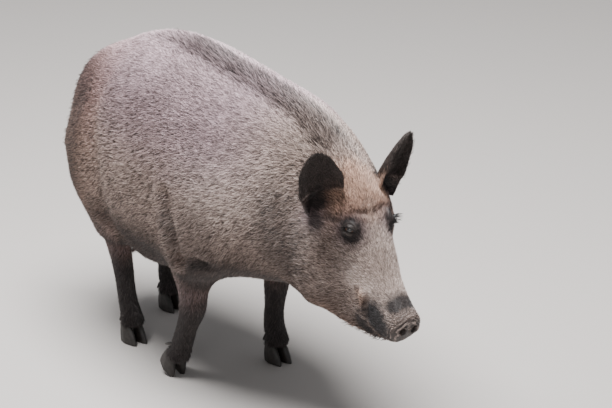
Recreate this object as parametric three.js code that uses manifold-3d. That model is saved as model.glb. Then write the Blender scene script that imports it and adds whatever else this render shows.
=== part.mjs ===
// A wild boar sow, life size, standing with her snout lowered to the ground.
// Millimetres, +X towards the head, +Y towards her left side, +Z up, the floor at Z = 0.
// The flesh is one smooth field, a blend of oval tubes and ellipsoids, which is parted by thin plane cuts.
import * as THREE from "three";
import Module from "manifold-3d";

const wasm = await Module();
wasm.setup();

// ---- driving sizes ----
const CUT = 0.6; // thin cut between neighbouring nodes
const SLIVER = 0.06;
const CORONET = 44; // height at which horn meets skin on a flat foot
const EYE_RADIUS = 12.5;
const EYE_AT = [449.5, 46, 479]; // the left eyeball's middle
const EAR_AT = [410, 82, 528]; // the middle of the left ear's foot
const EAR_LENGTH = 118;
const EAR_WIDTH = 88;
const LEFT = 1;
const RIGHT = -1;
const { lerp, clamp, degToRad } = THREE.MathUtils;

// ---- colours ----
const coatGrey = new THREE.MeshStandardMaterial({ color: 0x857b74, roughness: 0.9, metalness: 0 });
const coatDark = new THREE.MeshStandardMaterial({ color: 0x4a423e, roughness: 0.9, metalness: 0 });
const bareSkin = new THREE.MeshStandardMaterial({ color: 0x3b3230, roughness: 0.6, metalness: 0 });
const horn = new THREE.MeshStandardMaterial({ color: 0x2c2826, roughness: 0.5, metalness: 0 });
const eyeball = new THREE.MeshStandardMaterial({ color: 0x1a0f0a, roughness: 0.1, metalness: 0 });

// ---- field tools: a field gives the distance from a point to a surface, negative inside ----

function smoothMin(a, b, reach) {
  const h = Math.max(reach - Math.abs(a - b), 0) / reach;
  return Math.min(a, b) - h * h * reach * 0.25;
}

// Joins fields into one, rounding each meeting line over that shape's reach.
function blend(first, ...others) {
  return (x, y, z) =>
    others.reduce((d, [field, reach]) => smoothMin(d, field(x, y, z), reach), first(x, y, z));
}

// An ellipsoid, turned by Euler angles in degrees.
function ellipsoid(at, radii, turn = [0, 0, 0]) {
  const m = new THREE.Matrix4().makeRotationFromEuler(new THREE.Euler(...turn.map(degToRad))).elements;
  const [rx, ry, rz] = radii;
  return (x, y, z) => {
    const [px, py, pz] = [x - at[0], y - at[1], z - at[2]];
    const qx = m[0] * px + m[1] * py + m[2] * pz;
    const qy = m[4] * px + m[5] * py + m[6] * pz;
    const qz = m[8] * px + m[9] * py + m[10] * pz;
    const near = Math.hypot(qx / rx, qy / ry, qz / rz);
    const slope = Math.hypot(qx / rx / rx, qy / ry / ry, qz / rz / rz);
    return near < 1e-6 ? -Math.min(rx, ry, rz) : (near * (near - 1)) / slope;
  };
}

// Sections along a smooth curve. A station is [x, y, z, half width, half thickness].
// up is roughly square to the curve and to the width.
function sections(stations, up, samples) {
  const points = stations.map((s) => new THREE.Vector3(s[0], s[1], s[2]));
  const sizes = stations.map((s) => new THREE.Vector3(s[3], s[4], 0));
  const centre = new THREE.CatmullRomCurve3(points, false, "centripetal");
  const size = new THREE.CatmullRomCurve3(sizes, false, "catmullrom", 0.5);
  const upward = new THREE.Vector3(...up);
  return Array.from({ length: samples + 1 }, (_, i) => {
    const p = centre.getPoint(i / samples);
    const along = centre.getTangent(i / samples);
    const side = new THREE.Vector3().crossVectors(upward, along).normalize();
    const top = new THREE.Vector3().crossVectors(along, side);
    const { x: wide, y: tall } = size.getPoint(i / samples);
    return { p, along, side, top, wide, tall };
  });
}

// A tube with an oval section that changes along a curve, as a field.
function tube(stations, { up = [0, 0, 1], samples = 40, caps = [1, 1], taper = 0, power = 2 } = {}) {
  const rows = sections(stations, up, samples);
  return (x, y, z) => {
    let best = 0;
    let least = Infinity;
    for (let i = 0; i <= samples; i++) {
      const { p } = rows[i];
      const d = (x - p.x) ** 2 + (y - p.y) ** 2 + (z - p.z) ** 2;
      if (d < least) {
        least = d;
        best = i;
      }
    }
    // the nearest point lies on one of the two pieces that meet in the nearest sample
    const a = rows[best];
    const ahead = (x - a.p.x) * a.along.x + (y - a.p.y) * a.along.y + (z - a.p.z) * a.along.z;
    const other = clamp(best + (ahead < 0 ? -1 : 1), 0, samples);
    const atEnd = other === best;
    const b = rows[other];
    const t = atEnd ? 0 : clamp(Math.abs(ahead) / a.p.distanceTo(b.p), 0, 1);
    const [dx, dy, dz] = [x - lerp(a.p.x, b.p.x, t), y - lerp(a.p.y, b.p.y, t), z - lerp(a.p.z, b.p.z, t)];
    const wide = lerp(a.wide, b.wide, t);
    const tall = lerp(a.tall, b.tall, t);
    const offset = ({ x: ax, y: ay, z: az }, { x: bx, y: by, z: bz }) =>
      dx * lerp(ax, bx, t) + dy * lerp(ay, by, t) + dz * lerp(az, bz, t);
    const offSide = offset(a.side, b.side);
    const offTop = offset(a.top, b.top);
    const beyond = atEnd ? Math.abs(ahead) / (Math.min(wide, tall) * caps[best === 0 ? 0 : 1]) : 0;
    const width = wide * (1 - taper * clamp(offTop / tall, -1, 1));
    const round = (Math.abs(offSide / width) ** power + Math.abs(offTop / tall) ** power) ** (1 / power);
    const near = Math.hypot(round, beyond);
    const far = Math.hypot(offSide, offTop, atEnd ? ahead : 0);
    return near < 1e-3 ? -Math.min(wide, tall) : far * (1 - 1 / near);
  };
}

// Where two inside corners of a grid square meet only across its diagonal, a third corner is taken inside.
function joinCorners(value, step, little) {
  for (let found = true; found; ) {
    found = false;
    for (let n = 0; n < value.length - step[0] - step[1] - step[2]; n++) {
      for (let axis = 0; axis < 3; axis++) {
        const [u, v] = [step[(axis + 1) % 3], step[(axis + 2) % 3]];
        const [a, b, c, d] = [n, n + u, n + v, n + u + v];
        if (value[a] < 0 !== value[d] < 0 || value[b] < 0 !== value[c] < 0) continue;
        if (value[a] < 0 === value[b] < 0) continue;
        const [p, q] = value[a] < 0 ? [b, c] : [a, d];
        value[value[p] < value[q] ? p : q] = -little;
        found = true;
      }
    }
  }
}

// Meshes a field inside a box as a closed quad net, with its points drawn onto the surface.
function netOf(field, low, high, cell) {
  const count = low.map((v, i) => Math.ceil((high[i] - v) / cell) + 3);
  const start = low.map((v) => v - cell);
  const step = [1, count[0], count[0] * count[1]];
  const value = new Float32Array(count[0] * count[1] * count[2]);
  for (let k = 0, n = 0; k < count[2]; k++) {
    for (let j = 0; j < count[1]; j++) {
      for (let i = 0; i < count[0]; i++, n++) {
        const edge = [i, j, k].some((c, a) => c === 0 || c === count[a] - 1);
        const d = field(start[0] + i * cell, start[1] + j * cell, start[2] + k * cell);
        value[n] = edge ? Math.max(d, cell * 0.2) : d;
      }
    }
  }
  joinCorners(value, step, cell * 0.02);
  const vertexOf = new Int32Array(value.length).fill(-1);
  const points = [];
  const corner = [0, 1].flatMap((k) => [0, 1].flatMap((j) => [0, 1].map((i) => [i, j, k])));
  const edges = corner.flatMap((c, m) => [0, 1, 2].filter((a) => !c[a]).map((a) => [m, m + (1 << a), a]));
  for (let k = 0; k < count[2] - 1; k++) {
    for (let j = 0; j < count[1] - 1; j++) {
      for (let i = 0; i < count[0] - 1; i++) {
        const home = i + j * step[1] + k * step[2];
        const d = corner.map(([a, b, c]) => value[home + a + b * step[1] + c * step[2]]);
        let crossings = 0;
        const sum = [0, 0, 0];
        for (const [m, n, axis] of edges) {
          if (d[m] < 0 === d[n] < 0) continue;
          crossings++;
          for (let a = 0; a < 3; a++) sum[a] += corner[m][a] + (a === axis ? d[m] / (d[m] - d[n]) : 0);
        }
        if (!crossings) continue;
        vertexOf[home] = points.length;
        points.push([i, j, k].map((v, a) => start[a] + (v + sum[a] / crossings) * cell));
      }
    }
  }
  const faces = [];
  for (let k = 0; k < count[2] - 1; k++) {
    for (let j = 0; j < count[1] - 1; j++) {
      for (let i = 0; i < count[0] - 1; i++) {
        const home = i + j * step[1] + k * step[2];
        for (let axis = 0; axis < 3; axis++) {
          const inside = value[home] < 0;
          if (inside === value[home + step[axis]] < 0) continue;
          const [u, v] = [step[(axis + 1) % 3], step[(axis + 2) % 3]];
          const ring = [home, home - u, home - u - v, home - v].map((n) => vertexOf[n]);
          if (!inside) ring.reverse();
          faces.push(ring[0], ring[1], ring[2], ring[0], ring[2], ring[3]);
        }
      }
    }
  }
  const tiny = cell * 0.05;
  for (const p of points) {
    for (let round = 0; round < 3; round++) {
      const d = field(...p);
      const slope = [0, 1, 2].map((a) => (field(...p.map((v, b) => v + (a === b ? tiny : 0))) - d) / tiny);
      const steep = Math.max(slope[0] ** 2 + slope[1] ** 2 + slope[2] ** 2, 0.2);
      const move = clamp(d / steep, -cell * 0.3, cell * 0.3);
      for (let a = 0; a < 3; a++) p[a] -= slope[a] * move;
    }
  }
  return new THREE.BufferGeometry()
    .setAttribute("position", new THREE.Float32BufferAttribute(points.flat(), 3))
    .setIndex(faces);
}

// ---- solids ----

// Makes a solid of a closed geometry. The seams of three's own shapes are welded first.
function solidOf(geometry, seams = false) {
  const { position } = geometry.attributes;
  const corners = geometry.index ? geometry.index.array : Array.from({ length: position.count }, (_, i) => i);
  const triVerts = new Uint32Array(corners);
  const mesh = new wasm.Mesh({ numProp: 3, vertProperties: position.array, triVerts });
  if (seams) mesh.merge();
  return new wasm.Manifold(mesh);
}

// Slivers that the cuts leave are simplified away first.
function meshOf(name, solid, material) {
  const { vertProperties, triVerts, numProp } = solid.simplify(SLIVER).getMesh();
  if (numProp !== 3) throw new Error(`${name} carries more than positions`);
  const geometry = new THREE.BufferGeometry()
    .setAttribute("position", new THREE.Float32BufferAttribute(vertProperties, 3))
    .setIndex(new THREE.Uint32BufferAttribute(triVerts, 1));
  geometry.computeVertexNormals();
  const mesh = new THREE.Mesh(geometry, material);
  mesh.name = name;
  return mesh;
}

// A cutting plane through a point. ahead and behind keep one side of it, half a cut back.
function plane(through, normal) {
  const n = new THREE.Vector3(...normal).normalize();
  return { n, offset: n.dot(new THREE.Vector3(...through)) };
}

function ahead(solid, { n, offset }) {
  return solid.trimByPlane(n.toArray(), offset + CUT / 2);
}

function behind(solid, { n, offset }) {
  return solid.trimByPlane(n.clone().negate().toArray(), -offset + CUT / 2);
}

// Joins rings of points, all with the same even number, into one closed geometry.
// Each end is closed by a strip across the ring, so that a bent ring is closed as well as a round one.
function skinOf(rings) {
  const sides = rings[0].length;
  const points = rings.flat();
  const faces = [];
  for (let r = 0; r < rings.length - 1; r++) {
    for (let i = 0; i < sides; i++) {
      const [a, b] = [r * sides + i, r * sides + ((i + 1) % sides)];
      faces.push(a, b, b + sides, a, b + sides, a + sides);
    }
  }
  const last = (rings.length - 1) * sides;
  for (let i = 0; i < sides / 2 - 1; i++) {
    const [a, b, c, d] = [i, i + 1, sides - 2 - i, sides - 1 - i];
    faces.push(a, c, b, a, d, c);
    faces.push(...[a, b, c, a, c, d].map((n) => last + n));
  }
  return new THREE.BufferGeometry()
    .setAttribute("position", new THREE.Float32BufferAttribute(points.flat(), 3))
    .setIndex(faces);
}

// The same tube as a mesh of its own, with flat ends.
function loft(stations, up, samples, sides) {
  const rings = sections(stations, up, samples).map(({ p, side, top, wide, tall }) =>
    Array.from({ length: sides }, (_, i) => {
      const turn = (i / sides) * 2 * Math.PI;
      const q = p.clone().addScaledVector(side, Math.cos(turn) * wide);
      return q.addScaledVector(top, Math.sin(turn) * tall).toArray();
    }),
  );
  return solidOf(skinOf(rings));
}

// A round rod along a smooth curve, with one radius for each of its points.
function rod(points, radii, sides = 8, steps = 16) {
  const curve = new THREE.CatmullRomCurve3(points.map((p) => new THREE.Vector3(...p)));
  const wide = new THREE.CatmullRomCurve3(radii.map((r, i) => new THREE.Vector3(r, i, 0)));
  const frames = curve.computeFrenetFrames(steps, false);
  const rings = Array.from({ length: steps + 1 }, (_, k) => {
    const p = curve.getPointAt(k / steps);
    const r = wide.getPoint(k / steps).x;
    return Array.from({ length: sides }, (_, i) => {
      const turn = (i / sides) * 2 * Math.PI;
      const q = p.clone().addScaledVector(frames.normals[k], Math.cos(turn) * r);
      return q.addScaledVector(frames.binormals[k], Math.sin(turn) * r).toArray();
    });
  });
  return solidOf(skinOf(rings));
}

// ---- the body's field ----

// trunk, neck and nape along the spine: [x, y, z, half width, half depth]
const spine = tube(
  [
    [-572, 0, 458, 52, 70],
    [-542, 0, 463, 92, 126],
    [-478, 0, 462, 132, 176],
    [-360, 0, 453, 176, 228],
    [-215, 0, 461, 204, 244],
    [-60, 0, 462, 208, 234],
    [90, 0, 472, 192, 212],
    [215, 0, 470, 162, 196],
    [315, 0, 448, 130, 166],
    [385, 0, 418, 102, 132],
  ],
  { samples: 60, caps: [0.6, 0.3], taper: 0.12, power: 2.1 },
);
const skull = tube(
  [
    [345, 0, 460, 80, 96],
    [392, 0, 428, 70, 96],
    [430, 0, 392, 59, 90],
    [472, 0, 356, 48, 76],
    [516, 0, 330, 40, 55],
    [556, 0, 308, 38, 42],
    [582, 0, 294, 41, 38],
  ],
  { samples: 40, caps: [0.7, 0.15], power: 2.2 },
);
const lowerJaw = tube(
  [
    [330, 0, 332, 60, 66],
    [400, 0, 312, 52, 60],
    [460, 0, 300, 42, 50],
    [505, 0, 291, 35, 42],
    [534, 0, 288, 30, 29],
  ],
  { samples: 24, caps: [0.8, 0.6] },
);

// [x, y, z, half width, half thickness] from the shoulder or hip down to the coronet
const forelegRight = [
  [70, -125, 420, 46, 100],
  [28, -128, 340, 44, 68],
  [-4, -126, 272, 38, 43],
  [-10, -122, 222, 33, 35],
  [-14, -120, 178, 31, 33],
  [-33, -119, 138, 24, 26],
  [-54, -118, 92, 24, 26],
  [-76, -118, 50, 26, 27],
];
const forelegLeft = [
  [70, 125, 420, 46, 100],
  [26, 124, 340, 44, 68],
  [-10, 117, 272, 37, 42],
  [-25, 110, 222, 32, 34],
  [-30, 106, 184, 30, 32],
  [-34, 103, 130, 23, 25],
  [-36, 102, 88, 24, 26],
  [-24, 102, 44, 27, 28],
];
const hindlegRight = [
  [-400, -98, 440, 52, 122],
  [-378, -108, 360, 50, 96],
  [-347, -106, 285, 39, 60],
  [-338, -101, 228, 27, 40],
  [-325, -97, 165, 23, 28],
  [-314, -94, 95, 22, 25],
  [-298, -92, 44, 27, 28],
];
const hindlegLeft = [
  [-402, 98, 440, 52, 122],
  [-396, 108, 360, 50, 96],
  [-412, 104, 285, 39, 60],
  [-438, 97, 228, 27, 40],
  [-432, 89, 165, 23, 28],
  [-430, 83, 95, 22, 25],
  [-414, 81, 44, 27, 28],
];
const limb = (stations) => tube(stations, { up: [1, 0, 0], samples: 48, caps: [0.8, 0.8] });

// a pair of equal forms, one on each side
function pair([x, y, z], radii, turn, reach) {
  return [LEFT, RIGHT].map((side) => [
    ellipsoid([x, side * y, z], radii, [side * turn[0], turn[1], side * turn[2]]),
    reach,
  ]);
}

const shoulders = pair([75, 128, 440], [95, 62, 165], [0, 12, 0], 60);
const jowls = pair([356, 64, 356], [62, 34, 60], [0, 0, 0], 40);
const brows = pair([445, 31, 491], [27, 17, 14], [0, 45, 0], 20);
const udders = pair([-228, 64, 258], [165, 70, 53], [0, 0, 0], 34);

const torso = blend(
  spine,
  [skull, 50],
  [lowerJaw, 26],
  ...shoulders,
  ...jowls,
  ...udders,
  [limb(forelegRight), 55],
  [limb(forelegLeft), 55],
  [limb(hindlegRight), 65],
  [limb(hindlegLeft), 65],
);
// the brows only matter on the head, which has the finest net
const flesh = blend(torso, ...brows);

// ---- nodes of flesh, cut from the field ----

const neckCut = plane([216, 0, 470], [0.97, 0, -0.25]);
const headCut = plane([316, 0, 440], [0.9, 0, -0.44]);
const snoutCut = plane([567, 0, 302], [0.81, 0, -0.58]);

const trunkMass = solidOf(netOf(torso, [-650, -250, 144], [300, 250, 730], 46));
const neckMass = solidOf(netOf(torso, [150, -230, 180], [440, 230, 720], 32));
const headMass = solidOf(netOf(flesh, [230, -150, 200], [660, 150, 620], 20.5));

// The block of space that holds one free leg, up to the elbow or stifle.
function legBlock({ span, side, inner, top }, grow = 0) {
  const size = [span[1] - span[0] + 2 * grow, 250, top + 100 + 2 * grow];
  const middle = [(span[0] + span[1]) / 2, side * (inner - grow + 125), top / 2 - 50];
  return solidOf(new THREE.BoxGeometry(...size).translate(...middle), true);
}

// span is the block's reach in X, knee the station where the foot begins, pitch how far the foot tips forward
const fore = { span: [-130, 75], inner: 62, top: 318, knee: 4 };
const hind = { inner: 52, top: 330, knee: 3 };
const legs = [
  { ...fore, name: "foreleg_right", line: forelegRight, side: RIGHT, pitch: 38 },
  { ...fore, name: "foreleg_left", line: forelegLeft, side: LEFT, pitch: 0 },
  { ...hind, name: "hindleg_right", line: hindlegRight, side: RIGHT, pitch: 0, span: [-480, -235] },
  { ...hind, name: "hindleg_left", line: hindlegLeft, side: LEFT, pitch: 0, span: [-500, -270] },
];

// ---- feet ----

// one claw, by rings from the sole up: [height under the coronet, heel, toe, half width]
const clawRings = [
  [-CORONET, -24, 34, 11.5],
  [-28, -25, 28, 12],
  [-12, -23, 17, 11],
  [-CUT, -19, 7, 8.5],
];

function claw(middle) {
  const ring = ([z, heel, toe, wide]) =>
    Array.from({ length: 8 }, (_, i) => {
      const turn = (i / 8) * 2 * Math.PI;
      const slim = 1 - 0.3 * Math.max(0, Math.cos(turn));
      const x = (heel + toe) / 2 + (Math.cos(turn) * (toe - heel)) / 2;
      return [x, middle + Math.sin(turn) * wide * slim, z];
    });
  return solidOf(skinOf(clawRings.map(ring)));
}

function dewclaw(side, grow = 0) {
  const line = [[-14, side * 13, 20], [-35, side * 17, 2], [-47, side * 19, -17]];
  return rod(line, [8 + grow, 7.5 + grow, 3 + grow], 6, 2);
}

// Stands a piece of a foot under its leg: turned by the foot's pitch, then moved to its coronet.
function atCoronet(piece, { line, pitch }) {
  const [x, y, z] = line.at(-1);
  return piece.rotate([0, pitch, 0]).translate([x, y, z]);
}

// ---- head pieces ----

// An ear is a cupped leaf. Rings run from its foot to its tip, out along the cup and back along the outside.
function ear(side, grow = 0) {
  const tip = new THREE.Vector3(0.17, side * 0.27, 0.95).normalize();
  const open = new THREE.Vector3(0.7, side * 0.7, 0.05);
  open.addScaledVector(tip, -open.dot(tip)).normalize();
  const across = new THREE.Vector3().crossVectors(open, tip);
  const rows = 8;
  const half = 5;
  const rings = Array.from({ length: rows + 1 }, (_, r) => {
    const t = r / rows;
    const wide = (EAR_WIDTH / 2) * Math.sqrt(Math.max(1 - ((t - 0.36) / 0.66) ** 2, 0.02));
    const curl = lerp(1.35, 0.55, t);
    const bend = wide / Math.sin(curl); // the cup's radius at this height
    const place = (v, depth) => {
      const turn = v * curl * (1 + grow / wide);
      return new THREE.Vector3(EAR_AT[0], side * EAR_AT[1], EAR_AT[2])
        .addScaledVector(tip, (t * 1.22 - 0.22) * EAR_LENGTH - (r === 0 ? grow : 0))
        .addScaledVector(across, (bend + depth) * Math.sin(turn))
        .addScaledVector(open, bend * Math.cos(curl) - (bend + depth) * Math.cos(turn))
        .toArray();
    };
    const cup = Array.from({ length: half + 1 }, (_, i) => place(-1 + (2 * i) / half, -grow));
    const back = Array.from({ length: half + 1 }, (_, i) => {
      const thick = i % half ? lerp(9, 4, t) : 2; // thin at both edges
      return place(1 - (2 * i) / half, thick + grow);
    });
    return [...cup, ...back];
  });
  const solid = solidOf(skinOf(rings));
  return solid.volume() < 0 ? solidOf(skinOf(rings.reverse())) : solid;
}

function eye(side, grow = 0) {
  const ball = new THREE.IcosahedronGeometry(EYE_RADIUS + grow, 1);
  return solidOf(ball.translate(EYE_AT[0], side * EYE_AT[1], EYE_AT[2]), true);
}

// One nostril, a tapered hole square to the snout's disc.
function nostril(side) {
  const [x, z] = [587, 290];
  const deep = (d) => [x - 0.81 * d, side * 14, z + 0.58 * d];
  return rod([deep(-10), deep(0), deep(9)], [7, 6.5, 4], 6, 3);
}

// ---- tail and teats ----

function tail(grow = 0) {
  const line = [
    [-540, 0, 540],
    [-592, 0, 520],
    [-622, 2, 455],
    [-626, 4, 370],
    [-612, 5, 300],
    [-600, 6, 235],
  ];
  return rod(line, [17, 15, 12, 10, 14, 4].map((r) => r + grow), 8, 14);
}

const teatRows = [-392, -325, -250, -165, -78];
const teatSide = 42; // from the middle line
function teat(x, side) {
  const y = side * teatSide;
  let z = 150;
  while (torso(x, y, z) > 0) z += 2;
  return rod([[x, y, z + 18], [x, y, z], [x, y * 1.05, z - 24]], [9, 8, 4.5], 6, 2);
}

// ---- the boar ----

// everything is moved at the end so that the floor is at Z = 0 under the middle of the animal
const boar = new THREE.Group();
const add = (name, solid, material) => boar.add(meshOf(name, solid, material));
const floor = plane([0, 0, -CUT / 2], [0, 0, 1]);

// A free leg has an upper part out of the field, a lofted foot and four claws.
function addLeg(leg) {
  const [x0, x1] = leg.span;
  const low = [x0 - 40, leg.side === LEFT ? 0 : -230, 150];
  const high = [x1 + 40, leg.side === LEFT ? 230 : 0, 400];
  const [kneeX, , kneeZ] = leg.line[leg.knee];
  const knee = plane([kneeX, 0, kneeZ + 10], [0, 0, 1]);
  const upper = solidOf(netOf(torso, low, high, 25)).intersect(legBlock(leg));
  add(leg.name, ahead(upper, knee), coatGrey);

  const turn = degToRad(leg.pitch);
  const coronet = plane(leg.line.at(-1).slice(0, 3), [Math.sin(turn), 0, Math.cos(turn)]);
  const [endX, endY, endZ, ...thick] = leg.line.at(-1);
  const beyond = [endX - Math.sin(turn) * 20, endY, endZ - Math.cos(turn) * 20, ...thick];
  const shank = loft([...leg.line.slice(leg.knee - 1), beyond], [1, 0, 0], 12, 10);
  let foot = ahead(behind(shank, knee), coronet);
  for (const [part, side] of [["outer", leg.side], ["inner", -leg.side]]) {
    foot = foot.subtract(atCoronet(dewclaw(side, CUT), leg));
    add(`${leg.name.replace("leg", "claw")}_${part}`, ahead(atCoronet(claw(side * 13.5), leg), floor), horn);
    add(`${leg.name.replace("leg", "dewclaw")}_${part}`, atCoronet(dewclaw(side), leg), horn);
  }
  add(leg.name.replace("leg", "foot"), foot, coatDark);
}

let trunk = behind(trunkMass, neckCut);
for (const leg of legs) {
  addLeg(leg);
  trunk = trunk.subtract(legBlock(leg, CUT));
}
for (const side of [LEFT, RIGHT]) for (const x of teatRows) trunk = trunk.add(teat(x, side));
add("trunk", trunk.subtract(tail(CUT)), coatGrey);
add("tail", tail(), coatDark);

let neck = behind(ahead(neckMass, neckCut), headCut);
let head = behind(ahead(headMass, headCut), snoutCut);
for (const [side, name] of [[LEFT, "left"], [RIGHT, "right"]]) {
  const socket = ear(side, 2 * CUT);
  neck = neck.subtract(socket);
  head = head.subtract(socket).subtract(eye(side, CUT));
  add(`ear_${name}`, ear(side), coatDark);
  add(`eye_${name}`, eye(side), eyeball);
}
add("neck", neck, coatGrey);
add("head", head, coatGrey);
add("snout", ahead(headMass, snoutCut).subtract(nostril(LEFT)).subtract(nostril(RIGHT)), bareSkin);

const box = new THREE.Box3().setFromObject(boar);
const middle = box.getCenter(new THREE.Vector3());
for (const mesh of boar.children) mesh.geometry.translate(-middle.x, -middle.y, -box.min.z);
export default boar;
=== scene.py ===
import math

import bmesh
import bpy
import numpy as np
from mathutils import Matrix, Vector
from mathutils.noise import fractal


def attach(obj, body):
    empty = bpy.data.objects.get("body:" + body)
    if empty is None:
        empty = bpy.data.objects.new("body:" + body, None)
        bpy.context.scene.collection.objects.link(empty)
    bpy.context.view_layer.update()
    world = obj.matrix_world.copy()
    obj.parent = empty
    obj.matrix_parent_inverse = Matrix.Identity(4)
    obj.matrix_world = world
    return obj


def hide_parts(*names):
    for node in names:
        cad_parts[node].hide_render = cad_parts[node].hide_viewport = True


# A wild boar sow in her short summer coat. Metres, +X to the head, +Y to her left, the floor at Z = 0.

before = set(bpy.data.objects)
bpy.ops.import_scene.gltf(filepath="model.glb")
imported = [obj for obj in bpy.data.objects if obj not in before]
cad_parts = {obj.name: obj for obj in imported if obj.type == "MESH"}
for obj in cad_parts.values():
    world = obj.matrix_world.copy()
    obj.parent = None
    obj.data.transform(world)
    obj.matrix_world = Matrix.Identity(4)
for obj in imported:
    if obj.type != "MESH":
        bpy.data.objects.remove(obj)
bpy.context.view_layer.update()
print("solids loaded")

fineness = 1.0


# small tools

def smooth(value, low, high):
    t = np.clip((value - low) / (high - low), 0, 1)
    return t * t * (3 - 2 * t)


def bell(distance, width):
    return np.exp(-((distance / width) ** 2))


def unit(vectors):
    vectors = np.asarray(vectors, float)
    return vectors / np.maximum(np.linalg.norm(vectors, axis=-1, keepdims=True), 1e-9)


def toSide(point, side):
    return np.array([point[0], point[1] * side, point[2]])


def inFrame(points, place, axes, side):
    # the points as counted from a place along that side's own axes
    away = points - toSide(place, side)
    return [away @ axis for axis in axes(side)]


def fromFrame(place, axes, side, *spots):
    return toSide(place, side) + np.stack(spots, -1) @ np.array(axes(side))


def mixed(first, second, share):
    return first * (1 - share)[:, None] + second * share[:, None]


def lineDistance(points, line):
    # distance from each point to a bent line
    line = np.asarray(line, float)
    best = np.full(len(points), 1e9)
    for a, b in zip(line[:-1], line[1:]):
        t = np.clip(((points - a) @ (b - a)) / ((b - a) @ (b - a)), 0, 1)
        best = np.minimum(best, np.linalg.norm(points - a - t[:, None] * (b - a), axis=1))
    return best


def placed(name, mesh):
    piece = bpy.data.objects.new(name, mesh)
    bpy.context.scene.collection.objects.link(piece)
    return piece


def settled(piece):
    # the piece's modifiers become its mesh
    bpy.context.view_layer.update()
    shown = piece.evaluated_get(bpy.context.evaluated_depsgraph_get())
    mesh = bpy.data.meshes.new_from_object(shown)
    piece.modifiers.clear()
    old, piece.data = piece.data, mesh
    bpy.data.meshes.remove(old)
    return piece


def listOf(items, field, width=1, kind=np.int32):
    # one field of many mesh parts, as an array
    flat = np.empty(len(items) * width, kind)
    items.foreach_get(field, flat)
    return flat if width == 1 else flat.reshape(-1, width).astype(float)


def pointsOf(mesh):
    return listOf(mesh.vertices, "co", 3, np.float32)


def normalsOf(mesh):
    return listOf(mesh.vertex_normals, "vector", 3, np.float32)


def movePoints(mesh, points):
    mesh.vertices.foreach_set("co", points.astype(np.float32).ravel())
    mesh.update()


def keep(mesh, name, values, kind="FLOAT", domain="POINT"):
    layer = mesh.attributes.get(name) or mesh.attributes.new(name, kind, domain)
    field = "vector" if kind == "FLOAT_VECTOR" else "value"
    dtype = np.int32 if kind == "INT" else np.float32
    layer.data.foreach_set(field, np.ascontiguousarray(values, dtype).ravel())


def modified(piece, kind, **values):
    # the piece as one modifier leaves it
    modifier = piece.modifiers.new(kind, kind)
    for key, value in values.items():
        setattr(modifier, key, value)
    return settled(piece)


def relax(piece, weights, times):
    # smooths where the weights say, in steps of a twentieth
    chosen = piece.vertex_groups.new(name="relax")
    level = np.round(np.clip(weights, 0, 1) * 20).astype(int)
    for step in range(1, 21):
        chosen.add(np.flatnonzero(level == step).tolist(), step / 20, "REPLACE")
    modified(piece, "SMOOTH", factor=1, iterations=times, vertex_group="relax")
    piece.vertex_groups.clear()


def meshFrom(name, points, faces):
    mesh = bpy.data.meshes.new(name)
    mesh.from_pydata([tuple(p) for p in points], [], faces)
    mesh.update()
    return mesh


def ringFaces(rings, sides, closed=False):
    faces = []
    for r in range(rings if closed else rings - 1):
        for i in range(sides):
            a, b = r * sides + i, r * sides + (i + 1) % sides
            up = sides if r < rings - 1 else -r * sides
            faces.append((a, b, b + up, a + up))
    if not closed:
        faces.append(tuple(reversed(range(sides))))
        faces.append(tuple(range((rings - 1) * sides, rings * sides)))
    return faces


def tube(name, line, radii, sides=10, closed=False):
    # a round tube along a line, with one radius for each point
    line = np.asarray(line, float)
    step = np.roll(line, -1, 0) - np.roll(line, 1, 0) if closed else np.gradient(line, axis=0)
    along = unit(step)
    side = unit(np.cross(along, [0.13, 0.9, 0.41]))
    top = np.cross(side, along)
    radii = np.broadcast_to(radii, len(line))
    ring = []
    for p, r, s, u in zip(line, radii, side, top):
        for t in np.arange(sides) / sides * 2 * math.pi:
            ring.append(p + r * (math.cos(t) * s + math.sin(t) * u))
    return outward(meshFrom(name, ring, ringFaces(len(line), sides, closed)))


def outward(mesh):
    work = bmesh.new()
    work.from_mesh(mesh)
    bmesh.ops.remove_doubles(work, verts=work.verts, dist=1e-6)
    bmesh.ops.recalc_face_normals(work, faces=work.faces)
    work.to_mesh(mesh)
    work.free()
    return mesh


def joined(name, meshes):
    work = bmesh.new()
    for mesh in meshes:
        work.from_mesh(mesh)
    bmesh.ops.remove_doubles(work, verts=work.verts, dist=1e-6)
    mesh = bpy.data.meshes.new(name)
    work.to_mesh(mesh)
    work.free()
    return mesh


def ball(subdivisions, radius=1):
    work = bmesh.new()
    bmesh.ops.create_icosphere(work, subdivisions=subdivisions, radius=radius)
    mesh = bpy.data.meshes.new("ball")
    work.to_mesh(mesh)
    work.free()
    return mesh


def oval(middle, axes, radii):
    # a ball drawn out along three axes
    mesh = ball(3)
    for axis, spot, radius in zip(axes, pointsOf(mesh).T, radii):
        middle = middle + axis * spot[:, None] * radius
    movePoints(mesh, middle)
    return mesh


# the camera comes first

camera = {
    "azimuth": 55,
    "elevation": 20,
    "distance": 7.0,
    "lens": 201.8,
    "aim": (0.2487, 0, 0.457),
}


def addCamera():
    turn, rise = math.radians(camera["azimuth"]), math.radians(camera["elevation"])
    back = Vector((math.cos(rise) * math.sin(turn), -math.cos(rise) * math.cos(turn), math.sin(rise)))
    right = Vector((math.cos(turn), math.sin(turn), 0))
    up = back.cross(right)
    data = bpy.data.cameras.new("camera")
    data.lens = camera["lens"]
    data.sensor_width = 36
    data.clip_end = 100
    piece = placed("camera", data)
    turned = Matrix((right, up, back)).transposed().to_4x4()
    piece.matrix_world = Matrix.Translation(Vector(camera["aim"]) + back * camera["distance"]) @ turned
    bpy.context.scene.camera = piece


addCamera()

# skin

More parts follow.
